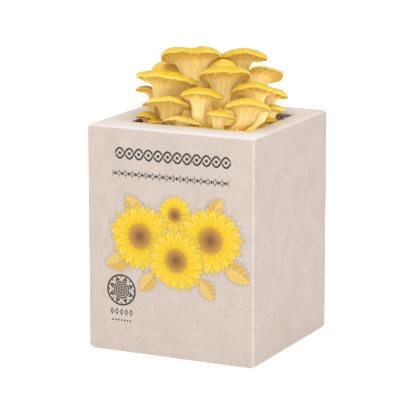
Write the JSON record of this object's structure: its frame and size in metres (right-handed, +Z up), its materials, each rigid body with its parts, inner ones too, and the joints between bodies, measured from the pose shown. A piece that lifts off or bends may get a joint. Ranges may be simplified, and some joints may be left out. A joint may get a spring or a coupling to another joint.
{
  "type": "oyster mushroom grow kit",
  "caption": "Square cardboard carton of substrate with a cluster of golden oyster mushrooms growing up through a window in its top.",
  "frame": {"origin": "middle of the carton's base, on the surface it stands on", "axes": "+Z up out of the window, the carton's printed front faces -Y, +X to the viewer's right"},
  "size_m": [0.152, 0.148, 0.25],
  "materials": {
    "carton_board": "matte",
    "substrate": "matte",
    "base_tissue": "matte",
    "mushroom_flesh": "satin"
  },
  "bodies": {
    "root": {"carton": "carton_board", "substrate": "substrate", "cluster_base": "base_tissue", "mushroom_01": "mushroom_flesh", "mushroom_02": "mushroom_flesh", "mushroom_03": "mushroom_flesh", "mushroom_04": "mushroom_flesh", "mushroom_05": "mushroom_flesh", "mushroom_06": "mushroom_flesh", "mushroom_07": "mushroom_flesh", "mushroom_08": "mushroom_flesh", "mushroom_09": "mushroom_flesh", "mushroom_10": "mushroom_flesh", "mushroom_11": "mushroom_flesh", "mushroom_12": "mushroom_flesh", "mushroom_13": "mushroom_flesh", "mushroom_14": "mushroom_flesh", "mushroom_15": "mushroom_flesh", "mushroom_16": "mushroom_flesh", "mushroom_17": "mushroom_flesh", "mushroom_18": "mushroom_flesh", "mushroom_19": "mushroom_flesh", "mushroom_20": "mushroom_flesh", "mushroom_21": "mushroom_flesh", "mushroom_22": "mushroom_flesh", "mushroom_23": "mushroom_flesh", "mushroom_24": "mushroom_flesh", "mushroom_25": "mushroom_flesh", "mushroom_26": "mushroom_flesh", "mushroom_27": "mushroom_flesh", "mushroom_28": "mushroom_flesh", "mushroom_29": "mushroom_flesh", "mushroom_30": "mushroom_flesh"}
  },
  "joints": []
}
